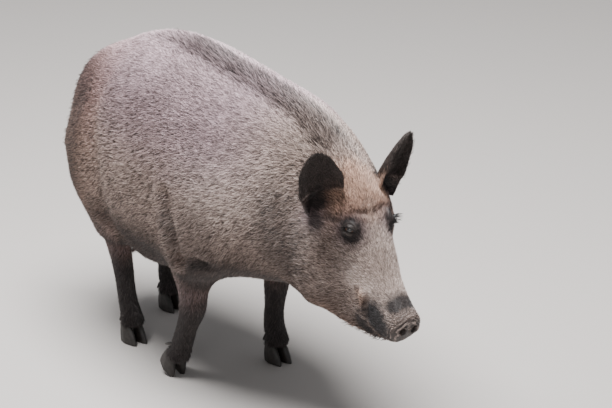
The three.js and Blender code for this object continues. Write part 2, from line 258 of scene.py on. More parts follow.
anatomy = {
    "eye": (0.4682, 0.046, 0.479),
    "eyeRadius": 0.0125,
    "eyeFacing": (0.56, 0.81, 0.14),
    "earFoot": (0.42866, 0.082, 0.528),
    "earTip": (0.17, 0.27, 0.95),
    "earOpen": (0.88, 0.46, 0.05),
    "earLength": 0.118,
    "earWidth": 0.084,
    "disc": (0.6053, 0, 0.2907),
    "discFacing": (0.81, 0, -0.58),
    "snoutTop": (0.582, 0.008, 0.354),
    "tuskBump": (0.509, 0.047, 0.358),
    "underEar": (0.414, 0.097, 0.5),
    "faceHairFrom": (0.64, 0, 0.3),
    "tail": [(-0.521, 0, 0.54), (-0.573, 0, 0.52), (-0.603, 0.002, 0.455), (-0.607, 0.004, 0.37),
             (-0.593, 0.005, 0.3), (-0.581, 0.006, 0.235)],
    "legs": {
        "foreRight": [(0.089, -0.125, 0.42), (0.015, -0.126, 0.272), (0.005, -0.12, 0.178),
                      (-0.035, -0.118, 0.092), (-0.06, -0.118, 0.045)],
        "foreLeft": [(0.089, 0.125, 0.42), (0.009, 0.117, 0.272), (-0.011, 0.106, 0.184),
                     (-0.017, 0.102, 0.088), (-0.005, 0.102, 0.04)],
        "hindRight": [(-0.381, -0.098, 0.44), (-0.328, -0.106, 0.285), (-0.319, -0.101, 0.228),
                      (-0.295, -0.094, 0.095), (-0.279, -0.092, 0.04)],
        "hindLeft": [(-0.383, 0.098, 0.44), (-0.393, 0.104, 0.285), (-0.419, 0.097, 0.228),
                     (-0.411, 0.083, 0.095), (-0.395, 0.081, 0.04)],
    },
}

skinSizes = {
    "voxel": 0.0062,
    "bodyRounds": 40,  # how often each part is smoothed
    "headRounds": 6,
    "legRounds": 4,
    "coatBody": 0.006,  # the coat's depth
    "coatFace": 0.0024,
    "coatLeg": 0.0024,
    "earRoot": (0.032, 0.018, 0.026),
    "ringOverClaws": (0.029, 0.029, 0.017),
}


def folded(points):
    # both halves of the body on the left side
    return np.stack([points[:, 0], np.abs(points[:, 1]), points[:, 2]], 1)


def awayFrom(points, place):
    return np.linalg.norm(folded(points) - place, axis=1)


def legMask(points):
    # 1 on the free legs, 0 on the body
    reach = np.min([lineDistance(points, line) for line in anatomy["legs"].values()], axis=0)
    return smooth(points[:, 2], 0.31, 0.22) * smooth(reach, 0.085, 0.065)


def headMask(points):
    # 1 on the head, 0 behind the jaw and poll
    return smooth(points[:, 0] * 0.9 - points[:, 2] * 0.44, 0.09, 0.19)


def tailMask(points):
    return smooth(lineDistance(points, anatomy["tail"][1:]), 0.034, 0.022)


def earAxes(side):
    tip = unit(toSide(anatomy["earTip"], side))
    opening = toSide(anatomy["earOpen"], side)
    opening = unit(opening - (opening @ tip) * tip)
    return tip, opening, np.cross(opening, tip)


def earMask(points):
    mask = np.zeros(len(points))
    for side in (-1, 1):
        height, out, wide = inFrame(points, anatomy["earFoot"], earAxes, side)
        mine = smooth(height, 0.004, 0.018) * smooth(np.hypot(out, wide), 0.075, 0.06)
        mine *= smooth(out, -0.04, -0.035) * smooth(np.abs(points[:, 1]), 0.046, 0.054)
        mask = np.maximum(mask, mine)
    return mask


def behindDisc(points):
    # how far a point lies behind the snout's disc, and how far from its axis
    facing = unit(anatomy["discFacing"])
    away = np.array(anatomy["disc"]) - points
    depth = away @ facing
    return depth, np.linalg.norm(away - depth[:, None] * facing, axis=1)


def earPlace(side, t, v, depth):
    # a point of the cupped ear: t from foot to tip, v from edge to edge, depth out from the cup
    wide = anatomy["earWidth"] / 2 * np.maximum(1 - (np.abs(t - 0.42) / 0.6) ** 2.1, 0) ** 0.62 + 0.0012
    curl = 1.35 + (0.55 - 1.35) * t
    bend = wide / np.sin(curl)
    turn = v * curl
    height = (t * 1.22 - 0.22) * anatomy["earLength"]
    out = bend * np.cos(curl) - (bend + depth) * np.cos(turn)
    return fromFrame(anatomy["earFoot"], earAxes, side, height, out, (bend + depth) * np.sin(turn))


def hollowTemples(points):
    # the head gives way in front of each ear's opening
    for side in (-1, 1):
        height, out, wide = inFrame(points, anatomy["earFoot"], earAxes, side)
        off = np.hypot(out - 0.02, wide)
        ceiling = -0.022 + 0.048 * (off / 0.046) ** 2
        chosen = (off < 0.056) & (height > ceiling) & (height < 0.09)
        depth = np.where(chosen, height - ceiling, 0) * smooth(off, 0.056, 0.044)
        points = points - earAxes(side)[0] * depth[:, None]
    return points


def earMesh(side, rows=36, across=24):
    # rings from the foot to the tip, out along the inside and back along the outside
    points = []
    for height in np.linspace(0, 1.012, rows):
        v = np.concatenate([np.linspace(-1, 1, across), np.linspace(1, -1, across)])
        inner = np.arange(2 * across) < across
        edge = np.sqrt(np.clip(1 - v**2, 0, 1))
        ribs = 0.0016 * np.cos(v * 11) * edge * smooth(height, 0.1, 0.35) * smooth(height, 1.0, 0.7)
        thick = (0.0062 - 0.0034 * height) * (0.3 + 0.7 * edge) + 0.0008
        wave = 0.0016 * np.sin(height * 17 + 2 * v) * (1 - edge)
        depth = np.where(inner, 0.0012 + ribs, 0.0012 + thick) + wave
        points.append(earPlace(side, np.full(2 * across, height), v, depth))
    mesh = meshFrom("ear", np.concatenate(points), ringFaces(rows, 2 * across))
    return outward(mesh)


def fleshCopy():
    # every node of flesh but the ears, with the eyes in, as one closed net
    names = [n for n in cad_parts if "ear" not in n and "claw" not in n]
    meshes = [joined(n, [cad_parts[n].data]) for n in names]
    for side in (-1, 1):
        # the ear's thick root, behind its opening
        tip, opening, across = earAxes(side)
        middle = fromFrame(anatomy["earFoot"], earAxes, side, -0.018, -0.028, 0)
        meshes.append(oval(middle, (across, opening, tip), skinSizes["earRoot"]))
    for line in anatomy["legs"].values():
        # the soft ring over the claws
        up = unit(np.subtract(line[-2], line[-1]))
        axes = (np.cross([0, 1, 0], up), np.array([0, 1, 0]), up)
        meshes.append(oval(line[-1] + up * 0.007, axes, skinSizes["ringOverClaws"]))
    return joined("skin", meshes)


def refine(piece, chosen):
    # splits every edge whose two ends are chosen, and gives the new points
    work = bmesh.new()
    work.from_mesh(piece.data)
    edges = [e for e in work.edges if chosen[e.verts[0].index] and chosen[e.verts[1].index]]
    bmesh.ops.subdivide_edges(work, edges=edges, cuts=1, use_grid_fill=True)
    work.to_mesh(piece.data)
    work.free()
    return pointsOf(piece.data)


def buildSkin():
    skin = placed("skin", fleshCopy())
    modified(skin, "REMESH", mode="VOXEL", voxel_size=skinSizes["voxel"])
    points = pointsOf(skin.data)
    leg, head, tail = legMask(points), headMask(points), tailMask(points)
    loose = (1 - leg) * (1 - tail) * (1 - smooth(points[:, 2], 0.24, 0.2))
    relax(skin, loose * (1 - head), skinSizes["bodyRounds"])
    relax(skin, loose * (0.35 + 0.65 * head), skinSizes["headRounds"])
    relax(skin, np.ones(len(points)) * (1 - 0.6 * tail), skinSizes["legRounds"])
    movePoints(skin.data, hollowTemples(pointsOf(skin.data)))
    for side in (-1, 1):
        ear = placed("ear", earMesh(side))
        modified(skin, "BOOLEAN", operation="UNION", solver="MANIFOLD", object=ear)
        bpy.data.objects.remove(ear)
    return skin


def shrink(mesh):
    # the skin lies under the coat
    points, normals = pointsOf(mesh), normalsOf(mesh)
    leg, head, ear = legMask(points), headMask(points), earMask(points)
    depth = skinSizes["coatBody"] * (1 - leg) * (1 - head)
    depth += skinSizes["coatLeg"] * leg + skinSizes["coatFace"] * head * (1 - leg)
    movePoints(mesh, points - normals * (depth * (1 - ear))[:, None])


# folds: a line on the left side, how deep and how wide it is, and how much its banks rise

folds = [
    # behind the elbow, across the armpit, before the thigh, behind the thigh, before the shoulder
    ([(0.036, 0.205, 0.455), (0.04, 0.207, 0.43), (0.055, 0.206, 0.395), (0.062, 0.198, 0.35),
      (0.056, 0.18, 0.31)], 0.013, 0.015, 0.25),
    ([(0.15, 0.17, 0.318), (0.11, 0.178, 0.33), (0.07, 0.172, 0.32), (0.03, 0.16, 0.3)], 0.008, 0.012, 0.3),
    ([(-0.3, 0.074, 0.67), (-0.317, 0.153, 0.568), (-0.308, 0.17, 0.52), (-0.262, 0.195, 0.43),
      (-0.252, 0.18, 0.35), (-0.262, 0.16, 0.3)], 0.007, 0.03, 0.3),
    ([(-0.47, 0.06, 0.3), (-0.455, 0.1, 0.33), (-0.44, 0.13, 0.39)], 0.005, 0.02, 0.3),
    ([(0.33, 0.128, 0.5), (0.345, 0.125, 0.44), (0.352, 0.11, 0.38), (0.35, 0.08, 0.32)], 0.004, 0.016, 0.3),
    # the head: above the brow, behind the eye, along the cheek, behind the lip
    ([(0.4725, 0.01, 0.505), (0.47, 0.024, 0.508), (0.462, 0.036, 0.508)], 0.0032, 0.0062, 0.45),
    ([(0.4715, 0.008, 0.52), (0.465, 0.024, 0.523)], 0.0009, 0.005, 0.4),
    ([(0.425, 0.085, 0.512), (0.44, 0.072, 0.5), (0.452, 0.06, 0.493)], 0.0026, 0.005, 0.5),
    ([(0.44, 0.078, 0.455), (0.462, 0.07, 0.43), (0.49, 0.058, 0.4)], 0.0022, 0.008, 0.5),
    ([(0.482, 0.055, 0.455), (0.5, 0.05, 0.43), (0.515, 0.046, 0.4)], 0.0018, 0.006, 0.5),
    ([(0.497, 0.047, 0.36), (0.497, 0.048, 0.335), (0.5, 0.044, 0.31)], 0.003, 0.006, 0.5),
    ([(0.524, 0.044, 0.35), (0.52, 0.044, 0.33), (0.52, 0.041, 0.308)], 0.003, 0.006, 0.5),
    # the mouth
    ([(0.585, 0, 0.252), (0.578, 0.024, 0.262), (0.555, 0.036, 0.281), (0.52, 0.042, 0.295),
      (0.488, 0.046, 0.302)], 0.0045, 0.0034, 0.5),
]


def fold(points):
    q = folded(points)
    height = np.zeros(len(points))
    for line, deep, wide, bank in folds:
        near = lineDistance(q, line)
        height += deep * (bank * bell(near - 2 * wide, wide) - bell(near, wide))
    return height


lids = {"halfLength": 0.0122, "upper": 0.0052, "lower": 0.0034, "thick": 0.0019, "reach": 0.024}


def eyeAxes(side):
    facing = unit(toSide(anatomy["eyeFacing"], side))
    forward = np.array([1, 0, -0.12])
    forward = unit(forward - (forward @ facing) * facing)
    return facing, forward, -side * np.cross(facing, forward)


def shapeLids(points, side):
    # a mound over the eyeball with an almond opening, a crease above it and folds below it
    out, along, high = inFrame(points, anatomy["eye"], eyeAxes, side)
    span = np.hypot(along, high)
    ball = anatomy["eyeRadius"] + lids["thick"]
    dome = np.sqrt(np.maximum(ball**2 - np.minimum(span, 0.0122) ** 2, 0))
    arch = lids["halfLength"] ** 2 - along**2
    half = np.where(high > 0, lids["upper"], lids["lower"]) * np.maximum(arch, 0) / lids["halfLength"] ** 2
    opening = smooth(np.abs(high) - half, 0.0006, -0.0004) * (arch > 0)
    crease = 0.0016 * bell(span - 0.0105, 0.0012) * smooth(high, 0.002, 0.006)
    bags = np.sin(span * 2 * math.pi / 0.0036) * 0.0006
    bags *= smooth(span, 0.008, 0.011) * smooth(high, -0.001, -0.005)
    target = dome - crease + bags * smooth(span, 0.024, 0.018) - 0.0062 * opening
    weight = smooth(span, lids["reach"], 0.0115) * (out > -0.012)
    return points + eyeAxes(side)[0] * ((target - out) * weight)[:, None]


nostril = {"side": 0.014, "high": 0.002, "wide": 0.0068, "deep": 0.014}


def mottles(p, size):
    # soft patches between -1 and 1
    return np.array([fractal(Vector(spot) / size, 0.7, 2.0, 3) for spot in p])


def muzzleRidges(points):
    # wrinkles behind the disc, running with its rim and broken up; the second number is their strength
    wave, strength = np.zeros(len(points)), np.zeros(len(points))
    depth, off = behindDisc(points)
    near = (depth < 0.05) & (off < 0.065)
    p, d = points[near], depth[near]
    sway = 0.005 * mottles(p, 0.035) + 0.0016 * mottles(p, 0.01)
    wave[near] = np.sin((d + sway) * 2 * math.pi / 0.0066)
    low = smooth(p[:, 2] - 0.5 * p[:, 0], 0.075, 0.04)
    broken = np.clip(0.55 + 0.9 * mottles(p + 1, 0.018), 0, 1)
    strength[near] = smooth(d, 0.04, 0.024) * smooth(d, 0.002, 0.006) * broken * (0.35 + 0.65 * low)
    return wave, strength


def shapeMuzzle(points, normals):
    # the bump over the tusk, the wrinkles behind the disc, the disc's lip and the nostrils
    q = folded(points)
    height = 0.004 * bell(awayFrom(points, anatomy["tuskBump"]), 0.01)
    height += 0.003 * bell(lineDistance(q, [(0.51, 0.047, 0.35), (0.508, 0.045, 0.318)]), 0.008)
    wave, strength = muzzleRidges(points)
    height += 0.001 * wave * strength
    depth, off = behindDisc(points)
    front = normals @ unit(anatomy["discFacing"])
    height += 0.0024 * bell(depth - 0.004, 0.006) * (off < 0.06) * smooth(front, 0.8, 0.3)
    height -= 0.0022 * smooth(off, 0.034, 0.02) * smooth(front, 0.5, 0.8) * (depth < 0.01)
    facing = unit(anatomy["discFacing"])
    up = np.array([-facing[2], 0, facing[0]])
    away = q - anatomy["disc"]
    hole = np.hypot(away[:, 1] - nostril["side"], away @ up * 0.85 - nostril["high"])
    wall = smooth(hole, nostril["wide"] + 0.0012, nostril["wide"] - 0.0022) * (depth < 0.012) * (front > 0.2)
    rim = 0.0016 * bell(hole - nostril["wide"] - 0.0026, 0.0018) * (depth < 0.012) * (front > 0.2)
    return points + normals * (height + rim)[:, None] - facing * (nostril["deep"] * wall)[:, None]


def shapeHead(piece):
    mesh = piece.data
    points, normals = pointsOf(mesh), normalsOf(mesh)
    movePoints(mesh, np.where(headMask(points)[:, None] > 0.9, shapeMuzzle(points, normals), points))
    points = pointsOf(mesh)
    for side in (-1, 1):
        own = points[:, 1] * side > 0
        points[own] = shapeLids(points[own], side)
    movePoints(mesh, points)


def nearEye(points, reach):
    return awayFrom(points, anatomy["eye"]) < reach


def nearDisc(points, deep, wide):
    depth, off = behindDisc(points)
    return (depth < deep) & (off < wide)


def nearFolds(points, reach, count):
    q = folded(points)
    return np.min([lineDistance(q, item[0]) for item in folds[:count]], axis=0) < reach


def lidRims():
    # the wet edges of the lids
    rims = []
    for side in (-1, 1):
        turn = np.linspace(0, 2 * math.pi, 48, endpoint=False)
        along = lids["halfLength"] * np.cos(turn)
        half = np.where(np.sin(turn) > 0, lids["upper"], -lids["lower"])
        high = half * np.sin(turn) ** 2
        out = np.sqrt((anatomy["eyeRadius"] + 0.0006) ** 2 - along**2 - high**2)
        line = fromFrame(anatomy["eye"], eyeAxes, side, out, along, high)
        rims.append(tube("lidRim", line, 0.0011, 8, closed=True))
    return rims


teats = {
    "along": [-0.3733, -0.3063, -0.2313, -0.1463, -0.0593],
    "side": 0.042,
    "length": 0.0125,
    "wide": 0.006,
}


def teatMeshes(piece):
    made = []
    for x in teats["along"]:
        for side in (-1, 1):
            start = Vector((x, side * teats["side"], 0.05))
            place, normal = piece.ray_cast(start, Vector((0, 0, 1)))[1:3]
            down = unit(np.array(normal) * [1, 0.5, 1])
            steps = teats["length"] * np.array([-1.9, -1.35, -0.85, -0.35, 0.15, 0.6, 0.88, 1.0])
            radii = teats["wide"] * np.array([2.7, 1.85, 1.3, 1.02, 0.92, 0.8, 0.52, 0.12])
            line = np.array(place) + steps[:, None] * down
            made.append(tube("teat", line, radii, 12))
    return made


# the head and the folds get a finer net than the rest
skin = buildSkin()
shrink(skin.data)
points = pointsOf(skin.data)
points = refine(skin, (headMask(points) > 0.5) & (earMask(points) < 0.2) | nearFolds(points, 0.035, 2))
relax(skin, (headMask(points) + nearFolds(points, 0.03, 2)) * (1 - earMask(points)), 2)
points = pointsOf(skin.data)
inHead = nearFolds(points, 0.012, len(folds)) & (headMask(points) > 0.8)
points = refine(skin, nearDisc(points, 0.055, 0.06) | nearEye(points, 0.03) | inHead)
points = refine(skin, nearEye(points, 0.0195) | nearDisc(points, 0.012, 0.028))
relax(skin, headMask(points) * (1 - earMask(points)), 2)
points, normals = pointsOf(skin.data), normalsOf(skin.data)
movePoints(skin.data, points + normals * (fold(points) * (1 - earMask(points)))[:, None])
shapeHead(skin)
bpy.context.view_layer.update()
skin.data = joined("skin", [skin.data] + teatMeshes(skin) + lidRims())
print("skin:", len(skin.data.vertices), "points")

# markings, painted shade, a painted highlight and painted sky light, as numbers kept on the skin

markPlaces = {
    # where each mark lies on the left side, how far it reaches and how strong it is
    "dark": [
        ([(0.47, 0.046, 0.48), (0.474, 0.046, 0.47)], 0.0235, 0.98),
        # painted shade in the crease behind the eye
        ([(0.43, 0.084, 0.508), (0.458, 0.058, 0.488)], 0.008, 0.6),
        ([(0.536, 0.037, 0.318), (0.566, 0.033, 0.286)], 0.026, 1.0),
        ([(0.545, 0, 0.27), (0.5, 0.03, 0.288)], 0.024, 0.95),
        ([(0.585, -0.01, 0.352), (0.582, 0.02, 0.346)], 0.017, 0.95),
        # painted shade in the brow's furrow
        ([(0.472, 0.01, 0.506), (0.462, 0.036, 0.509)], 0.007, 0.4),
        # painted shade: in the crease behind the elbow, in the armpit and along the underside of the chest
        ([(0.045, 0.204, 0.4), (0.055, 0.205, 0.37), (0.06, 0.19, 0.33)], 0.03, 0.46),
        ([(0.08, 0.19, 0.33), (0.16, 0.15, 0.3)], 0.035, 0.5),
        ([(0.12, 0.15, 0.29), (0.22, 0.11, 0.28), (0.33, 0.07, 0.27)], 0.065, 0.88),
        ([(0.13, 0.2, 0.4), (0.09, 0.2, 0.34)], 0.06, 0.3),
        # painted shade in the hollow before the ear's opening
        ([(0.398, 0.078, 0.548), (0.408, 0.084, 0.526)], 0.024, 0.93),
        # darker hair under and behind the ear, with painted shade of the ear over it
        ([(0.415, 0.097, 0.502), (0.418, 0.094, 0.486)], 0.018, 0.8),
        ([(0.405, 0.108, 0.515), (0.385, 0.125, 0.49)], 0.016, 0.75),
        # darker mane hair on the side of the neck, with painted shade behind the ear
        ([(0.33, 0.13, 0.48), (0.335, 0.115, 0.38)], 0.055, 0.46),
        # painted shade along the cheek's fold
        ([(0.44, 0.08, 0.46), (0.47, 0.07, 0.4)], 0.03, 0.25),
    ],
    "warm": [
        ([(0.47, 0.01, 0.505), (0.462, 0.036, 0.508)], 0.022, 0.45),
        ([(0.43, 0, 0.56), (0.44, 0.04, 0.53)], 0.045, 0.75),
        ([(-0.42, 0.12, 0.52), (-0.44, 0.12, 0.34)], 0.12, 0.6),
        ([(-0.3, 0, 0.26), (0.05, 0, 0.26)], 0.1, 1.0),
        ([(0.505, 0.047, 0.35), (0.505, 0.047, 0.335)], 0.01, 0.6),
    ],
    "pale": [
        ([(0.517, 0.05, 0.372), (0.495, 0.054, 0.382)], 0.027, 1.0),
        ([(0.48, 0, 0.49), (0.552, 0, 0.39)], 0.05, 0.62),
        ([(0.44, 0, 0.565), (0.46, 0.02, 0.53)], 0.04, 0.35),
        ([(0.24, 0.15, 0.54), (0.18, 0.18, 0.48)], 0.08, 0.35),
        ([(-0.33, 0.06, 0.68), (-0.22, 0.1, 0.66)], 0.08, 0.35),
    ],
}


def marked(kind, p):
    q, most = folded(p), np.zeros(len(p))
    ragged = 1 + 0.22 * np.sin(q @ [310, 120, 170]) * np.sin(q @ [-140, 260, 290])
    for line, reach, strength in markPlaces[kind]:
        near = lineDistance(q, line) * ragged
        most = np.maximum(most, strength * np.minimum(1.6 * bell(near, reach), 1))
    return most


def maneMask(p):
    # the dark line of longer bristles from the poll to the loin
    x, y, z = p.T
    along = smooth(x, -0.34, -0.1) * smooth(x, 0.4, 0.33)
    return along * smooth(np.abs(y), 0.052, 0.022) * smooth(z, 0.52, 0.57)


def darkColourAndShade(p, n):
    x, y, z = p.T
    leg = legMask(p)
    depth, off = behindDisc(p)
    return np.max([
        marked("dark", p),
        0.95 * leg * smooth(z, 0.27, 0.16),
        0.55 * leg * smooth(z, 0.36, 0.28),
        # painted shade on the sides of the legs that face the other legs
        0.7 * leg * smooth(-n[:, 1] * np.sign(y), 0, 0.6),  # the legs' inner sides
        # darker hair on the thighs and the end of the rump, with painted shade on the rear turned from the
        # light
        0.66 * smooth(x, -0.29, -0.4) * smooth(z, 0.66, 0.54),  # the thighs
        0.62 * smooth(x - 0.2 * z, -0.52, -0.66),  # the end of the rump
        # painted shade on the downward-facing belly and chest
        0.93 * smooth(-n[:, 2], -0.1, 0.65) * smooth(z, 0.42, 0.28) * (1 - 0.7 * headMask(p)),  # the belly
        0.8 * smooth(z, 0.218, 0.2) * (1 - leg),  # the teats
        0.52 * maneMask(p),
        # the ears' dark hair, with painted shade standing in for the shade inside their cups
        0.87 * earMask(p),
        0.9 * smooth(depth, 0.02, 0.006) * (off < 0.07),  # the snout's disc
        tailMask(p),
    ], axis=0)


def warmMarks(p, n):
    under = smooth(-n[:, 2], 0.2, 0.8) * smooth(p[:, 2], 0.4, 0.26)
    return np.clip(marked("warm", p) + 0.6 * under, 0, 1)


def paleColourAndHighlight(p, n):
    # a paler back coat, with a painted highlight where the top of the back faces up
    crest = 0.42 * smooth(n[:, 2], 0.45, 0.95) * smooth(p[:, 2], 0.56, 0.64) * (1 - maneMask(p))
    return np.clip(marked("pale", p) + crest, 0, 1)


def skyTintMarks(p, n):
    # painted sky light: a faint violet tint over the up-facing back and neck and the upper legs, round the
    # eyes and under the ears
    upper = smooth(n[:, 2], -0.2, 0.6) * smooth(p[:, 2], 0.4, 0.58) * smooth(p[:, 0], 0.34, 0.1)
    for place in (anatomy["eye"], anatomy["underEar"]):
        upper = np.maximum(upper, bell(awayFrom(p, place), 0.03))
    return np.clip(upper + 0.7 * legMask(p) * smooth(p[:, 2], 0.12, 0.22), 0, 1)


def lieOf(p, n):
    # the way the hair lies: from the snout back over the head, back along the body, down the legs
    head, leg, tail, ear = headMask(p), legMask(p), tailMask(p), earMask(p)
    x, y, z = p.T
    flat = np.abs(n[:, 1])
    sway = 0.1 * np.sin(x * 21 + z * 9) * (1 - flat)
    dip = -0.22 - 0.35 * flat + 0.16 * np.sin(x * 17 + z * 23)
    lie = unit(np.stack([np.full(len(p), -1.0), sway, dip], 1))
    lie = mixed(lie, unit(p - anatomy["faceHairFrom"]), head)
    lie = mixed(lie, np.array([-0.22, 0, -1]), leg)
    lie = mixed(lie, np.array([0.05, 0, -1]), tail)
    for side in (-1, 1):
        lie = mixed(lie, earAxes(side)[0], ear * (y * side > 0))
    return unit(lie)


coat = {
    "perSquareMetre": 205000,
    "bodyLength": 0.013,
    "headLength": 0.009,
    "legLength": 0.0095,
    "earLength": 0.0075,
    "bodyWidth": 0.0021,
    "headWidth": 0.0015,
    "lift": 0.24,  # radians between a bristle and the skin
    "stray": 0.48,  # how far bristles turn away from the lie
    "mottling": 0.13,  # how much soft patches change the tone
    "tuftOnMap": 0.003,  # a tuft's size on the map
}


def rootPlace(p):
    # each root's turn around the body, from belly to back
    axis = np.interp(p[:, 0], [-0.6, 0.25, 0.62], [0.46, 0.46, 0.3])
    return np.arctan2(np.abs(p[:, 1]), axis - p[:, 2]) / math.pi


patchEnds = [-0.62, -0.27, 0.05, 0.33, 0.62]


def zones(mesh):
    # the coat is made in patches: left and right along the body, then the legs, then the ears
    p = pointsOf(mesh)
    place = np.digitize(p[:, 0], patchEnds[1:-1])
    patch = place * 2 + (p[:, 1] > 0)
    v = rootPlace(p)
    low, high = np.take(patchEnds, place), np.take(patchEnds, place + 1)
    u = (p[:, 0] - low) / (high - low)
    legU, best = np.zeros(len(p)), np.full(len(p), 1e9)
    for number, line in enumerate(anatomy["legs"].values()):
        reach = lineDistance(p, line)
        x, y, z = np.transpose(line[::-1])
        away = p[:, 1] - np.interp(p[:, 2], z, y), p[:, 0] - np.interp(p[:, 2], z, x)
        turn = np.arctan2(*away) / (2 * math.pi) + 0.5
        nearer = reach < best
        best[nearer] = reach[nearer]
        legU[nearer] = (number + 0.04 + 0.92 * turn[nearer]) / 4
    isLeg, isEar = legMask(p) > 0.5, earMask(p) > 0.5
    patch = np.select([isEar, isLeg], [9, 8], patch)
    height = np.clip((p[:, 2] - 0.53) / 0.12, 0, 1)
    turn = np.clip((p[:, 0] - 0.37) / 0.12, 0, 1)
    u = np.select([isEar, isLeg], [(turn + (p[:, 1] > 0)) / 2, legU], u)
    v = np.select([isEar, isLeg], [height, p[:, 2] / 0.34], v)
    spots = np.stack([np.clip(u, 0, 1) * 0.96 + 0.02, np.clip(v, 0, 1) * 0.96 + 0.02, u * 0], 1)
    keep(mesh, "rootPlace", spots, "FLOAT_VECTOR")
    return patch


def paintSkin(mesh):
    p, n = pointsOf(mesh), normalsOf(mesh)
    x, y, z = p.T
    head, leg, ear = headMask(p), legMask(p), earMask(p)
    # the dark numbers hold painted shade as well as dark hair, the pale ones a painted highlight, the cool
    # ones painted sky light
    for name, marks in (("dark", darkColourAndShade), ("warm", warmMarks), ("pale", paleColourAndHighlight), ("cool", skyTintMarks)):
        keep(mesh, name, marks(p, n))
    keep(mesh, "mottle", 0.6 * mottles(p, 0.09) + 0.5 * mottles(p, 0.014))
    keep(mesh, "lie", lieOf(p, n), "FLOAT_VECTOR")
    depth, off = behindDisc(p)
    muzzle = smooth(depth, 0.16, 0.03) * head
    length = coat["bodyLength"] * (1 - head) * (1 - leg) + coat["legLength"] * leg
    length += coat["headLength"] * head * (1 - leg) * (1 - 0.45 * muzzle)
    length = length * (1 - ear) + coat["earLength"] * ear
    width = coat["bodyWidth"] + (coat["headWidth"] - coat["bodyWidth"]) * np.clip(head + leg + ear, 0, 1)
    teat = np.min([np.hypot(x - at, np.abs(y) - teats["side"]) for at in teats["along"]], axis=0)
    bare = np.max([
        smooth(depth, 0.017, 0.011) * (off < 0.07),  # the disc and the wrinkles under it
        0.5 * smooth(depth, 0.042, 0.026) * (off < 0.07) * smooth(z, 0.345, 0.325),
        0.7 * bell(awayFrom(p, anatomy["snoutTop"]), 0.016),
        smooth(awayFrom(p, anatomy["eye"]), 0.019, 0.0165),
        0.8 * smooth(-n[:, 2], 0.7, 0.9) * smooth(z, 0.34, 0.29) * (1 - head),  # the belly
        smooth(teat, 0.021, 0.017) * smooth(z, 0.32, 0.28),
    ], axis=0)
    keep(mesh, "bare", bare)
    wave, strength = muzzleRidges(p)
    mud = smooth(wave, 0.1, 0.9) * strength + 0.25 * strength
    for side in (-1, 1):
        out, along, high = inFrame(p, anatomy["eye"], eyeAxes, side)
        lid = bell(np.hypot(along, high) - 0.0105, 0.0045) * smooth(high, -0.001, -0.006)
        mud += 0.15 * lid * (out > 0)
    keep(mesh, "mud", np.clip(mud, 0, 1))
    keep(mesh, "hairLength", length)
    keep(mesh, "hairWidth", width)
    keep(mesh, "crowd", (1 + 0.75 * head + 0.25 * leg + 0.6 * ear) * (1 - bare))
    first = listOf(mesh.loops, "vertex_index")[listOf(mesh.polygons, "loop_start")]
    keep(mesh, "patch", zones(mesh)[first], "INT", "FACE")
    mesh.shade_smooth()


paintSkin(skin.data)
print("skin painted")

# materials

def feed(tree, node, inputs):
    # each input is a value or another node's socket
    for key, value in inputs.items():
        if isinstance(value, bpy.types.NodeSocket):
            tree.links.new(value, node.inputs[key])
        else:
            node.inputs[key].default_value = value


def addNode(tree, kind, inputs=(), **settings):
    node = tree.nodes.new(kind)
    for key, value in settings.items():
        setattr(node, key, value)
    feed(tree, node, dict(inputs))
    return node


def ramp(tree, stops, place):
    node = addNode(tree, "ShaderNodeValToRGB", {0: place})
    band = node.color_ramp
    while len(band.elements) < len(stops):
        band.elements.new(0.5)
    for element, (position, colour) in zip(band.elements, stops):
        element.position = position
        element.color = (*colour, 1)
    return node.outputs[0]


def mixColour(tree, factor, first, second, blend="MIX"):
    inputs = {0: factor, 6: first, 7: second}
    return addNode(tree, "ShaderNodeMix", inputs, data_type="RGBA", blend_type=blend).outputs[2]


def maths(tree, operation, *values):
    return addNode(tree, "ShaderNodeMath", dict(enumerate(values)), operation=operation).outputs[0]


def vectorMaths(tree, operation, inputs):
    return addNode(tree, "ShaderNodeVectorMath", inputs, operation=operation).outputs[0]


def attribute(tree, name):
    return addNode(tree, "ShaderNodeAttribute", attribute_name=name).outputs["Fac"]


colours = {
    "bristles": [(0, (0.026, 0.017, 0.014)), (0.3, (0.062, 0.042, 0.034)), (0.4, (0.23, 0.168, 0.143)),
                 (0.7, (0.42, 0.316, 0.272)), (1.0, (0.67, 0.535, 0.47))],
    # pale colours, also for the painted highlight along the top of the back
    "crest": [(0, (0.15, 0.107, 0.088)), (0.25, (0.4, 0.312, 0.272)), (1.0, (0.98, 0.82, 0.74))],
    "brown": (1.12, 0.84, 0.66, 1),
    # the violet tint of the painted sky light
    "violet": (0.97, 0.925, 1.12, 1),
    "black": [(0, (0.006, 0.005, 0.005)), (0.7, (0.017, 0.013, 0.014)), (1.0, (0.075, 0.062, 0.065))],
    "bareSkin": [(0.15, (0.012, 0.009, 0.009)), (0.5, (0.05, 0.038, 0.034)), (0.9, (0.3, 0.235, 0.21))],
}


